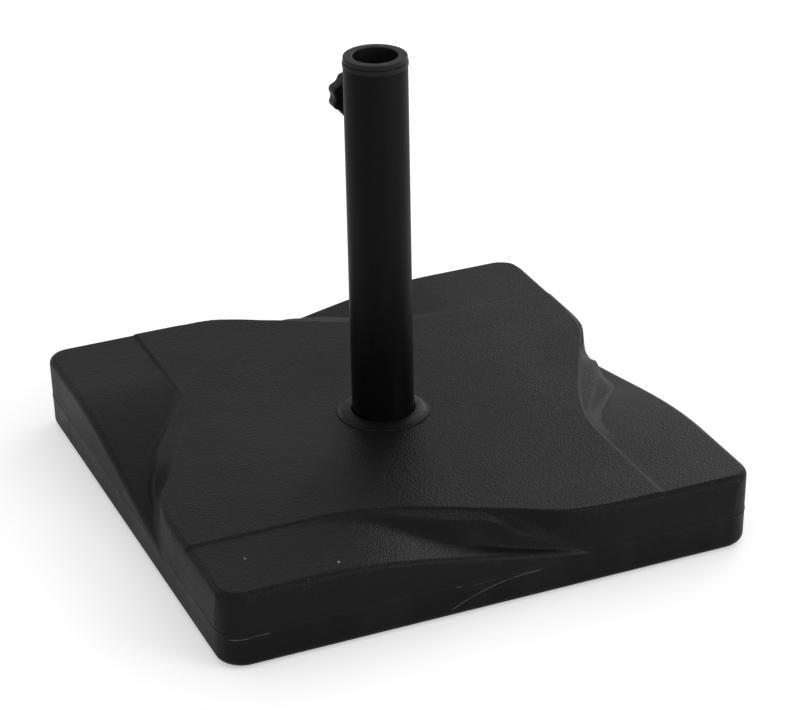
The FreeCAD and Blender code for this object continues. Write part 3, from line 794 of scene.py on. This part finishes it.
def make_knob(material):
    """Round hub, then a lobed grip with softened edges, and the recess for its cap."""
    low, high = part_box("knob")
    height = (low.z + high.z) / 2
    start, face = low.y, high.y
    back = start + KNOB_HUB_LENGTH
    middle = (high.x - low.x) / 2 - KNOB_LOBE_DEPTH
    hub, hole, recess = KNOB_HUB_RADIUS, KNOB_HOLE_RADIUS, KNOB_RECESS_RADIUS
    recess_floor = face - KNOB_RECESS_DEPTH
    hub_rings = ((hole, start), (hub - 0.8 * MM, start), (hub - 0.2 * MM, start + 0.3 * MM),
                 (hub, start + 1.0 * MM), (hub, back - 1.5 * MM), (hub + 0.5 * MM, back - 0.5 * MM),
                 (hub + 1.8 * MM, back))
    recess_rings = ((recess + 0.6 * MM, face - 0.15 * MM), (recess + 0.1 * MM, face - 0.4 * MM),
                    (recess, recess_floor), (hole, recess_floor))
    rings = [circle(radius, y, KNOB_POINTS) for radius, y in hub_rings]
    # share of the lobe's depth, then millimetres inwards, and from the grip's back or face
    for share, inset, depth in ((0.55, 3.2, 0.0), (0.9, 1.6, 0.0), (0.97, 0.7, 0.35), (1, 0.15, 1.0),
                                (1, 0, 1.8)):
        rings.append(lobed_ring(middle - inset * MM, KNOB_LOBE_DEPTH * share, back + depth * MM))
    for share, inset, depth in ((1, 0, 3.2), (1, 0.2, 2.0), (0.97, 0.8, 1.0), (0.9, 1.7, 0.35),
                                (0.75, 2.8, 0.05), (0.5, 4.2, 0.0), (0.15, 6.2, 0.1)):
        rings.append(lobed_ring(middle - inset * MM, KNOB_LOBE_DEPTH * share, face - depth * MM))
    rings += [circle(radius, y, KNOB_POINTS) for radius, y in recess_rings]
    mesh = ring_mesh("knob_grip", [turned_to_y(ring, height) for ring in rings], closed=True)
    add_piece("knob_grip", mesh, material, "knob", ["knob"])


def make_knob_cap(material):
    """Low domed button."""
    low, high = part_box("knob_cap")
    height = (low.z + high.z) / 2
    radius, crown = (high.x - low.x) / 2, high.y - low.y
    rings = [circle(radius, low.y, 64)]
    for k in range(8):
        f = k / 7
        reach = radius * cos(f * pi / 2 * 0.92)
        rings.append(circle(reach, low.y + crown * (0.80 + 0.20 * sin(f * pi / 2)), 64))
    mesh = ring_mesh("knob_button", [turned_to_y(ring, height) for ring in rings], capped=True)
    add_piece("knob_button", mesh, material, "knob", ["knob_cap"])


def make_screw(material):
    """The clamping screw with a real thread, from its plain tip to under the head."""
    low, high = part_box("clamp_screw")
    height = (low.z + high.z) / 2
    count = 40
    tip_end, shank_end = low.y + SCREW_TIP_LENGTH, high.y - SCREW_HEAD_HEIGHT
    turns = np.arange(count) * 2 * pi / count
    rings = [turned_ring(SCREW_TIP_RADIUS - 0.4 * MM, low.y, turns),
             turned_ring(SCREW_TIP_RADIUS, low.y + 0.4 * MM, turns),
             turned_ring(SCREW_TIP_RADIUS, tip_end, turns)]
    steps = int((shank_end - tip_end) / (SCREW_PITCH / 8))
    for k in range(1, steps):
        y = tip_end + (shank_end - tip_end) * k / steps
        phase = (y / SCREW_PITCH - turns / (2 * pi)) % 1.0
        run_in = min(k / 6, 1.0)
        reach = SCREW_RADIUS - SCREW_THREAD_DEPTH * np.abs(2 * phase - 1) - (1 - run_in) * 0.6 * MM
        rings.append(turned_ring(reach, y, turns))
    facet = (turns + pi / 6) % (pi / 3) - pi / 6
    hexagon = SCREW_HEAD_FLATS / 2 / np.cos(facet)
    for share, y in ((0.60, shank_end), (0.97, shank_end), (1.0, shank_end + 0.3 * MM),
                     (1.0, high.y - 0.5 * MM), (0.93, high.y), (0.5, high.y)):
        rings.append(turned_ring(np.minimum(hexagon, SCREW_HEAD_ROUND) * share, y, turns))
    mesh = ring_mesh("clamp_screw_thread", [turned_to_y(ring, height) for ring in rings], capped=True)
    add_piece("clamp_screw_thread", mesh, material, "knob", ["clamp_screw"])


def make_boss_weld(material):
    """Small uneven weld fillet where the knob's boss meets the tube."""
    boss_low, boss_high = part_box("knob_boss")
    height = (boss_low.z + boss_high.z) / 2
    boss = (boss_high.x - boss_low.x) / 2
    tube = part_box("tube")[1].x
    bead, count, round_steps = 1.5 * MM, 96, 10
    rings = []
    for i in range(round_steps):
        turn = i / round_steps * 2 * pi
        ring = []
        for k in range(count):
            around = k / count * 2 * pi
            swell = bead * (1 + 0.10 * sin(around * 23) + 0.06 * sin(around * 9 + 1))
            reach = boss + swell * 0.5 * cos(turn)
            x, up = reach * cos(around), reach * sin(around)
            wall = sqrt(tube ** 2 - min(x * x, tube ** 2))
            ring.append((x, wall + 0.2 * MM + swell * 0.6 * sin(turn), height + up))
        rings.append(ring)
    mesh = ring_mesh("boss_weld", rings, closed=True)
    add_piece("boss_weld", mesh, material, "base")


# ---------------------------------------------------------------------------
# CAD pieces that stay as they are, with finished materials and eased edges
# ---------------------------------------------------------------------------

def dress(nodes, material, edge=0.0):
    """Gives carried-over nodes a material and, where edge is set, bevels their sharp edges."""
    for name in nodes:
        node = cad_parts[name]
        if not node.material_slots:
            node.data.materials.append(material)
        for material_slot in node.material_slots:
            material_slot.material = material
        if edge:
            bevel = node.modifiers.new("eased_edges", "BEVEL")
            bevel.width = edge
            bevel.segments = 2
            bevel.limit_method = "ANGLE"
            bevel.angle_limit = radians(40)


def main():
    make_camera()
    make_studio()

    paint = tube_material()
    zinc = zinc_material()
    knob_plastic = smooth_plastic("knob_plastic", 0.005, 0.40, grain=900, depth=0.00008, specular=0.2)

    make_shell()
    make_collar()
    make_tube(paint)
    make_bush()
    make_knob(knob_plastic)
    make_knob_cap(knob_plastic)
    make_screw(zinc)
    make_boss_weld(paint)

    dress(["knob_boss", "tube_foot_plate"], paint, 0.3 * MM)
    dress(["tie_bolt", "tie_nut", "tie_washer", "tie_lock_washer"], zinc, 0.25 * MM)
    dress(["foot_pad_1", "foot_pad_2", "foot_pad_3", "foot_pad_4"], rubber_material(), 0.4 * MM)
    dress(["filler_plug"], smooth_plastic("plug_plastic", 0.016, 0.45), 0.4 * MM)
    dress(["pole_guide"], smooth_plastic("guide_plastic", 0.014, 0.5), 0.3 * MM)
    dress(["pressure_pad"], nylon_material(), 0.2 * MM)
    dress(["concrete_ballast"], concrete_material())


main()
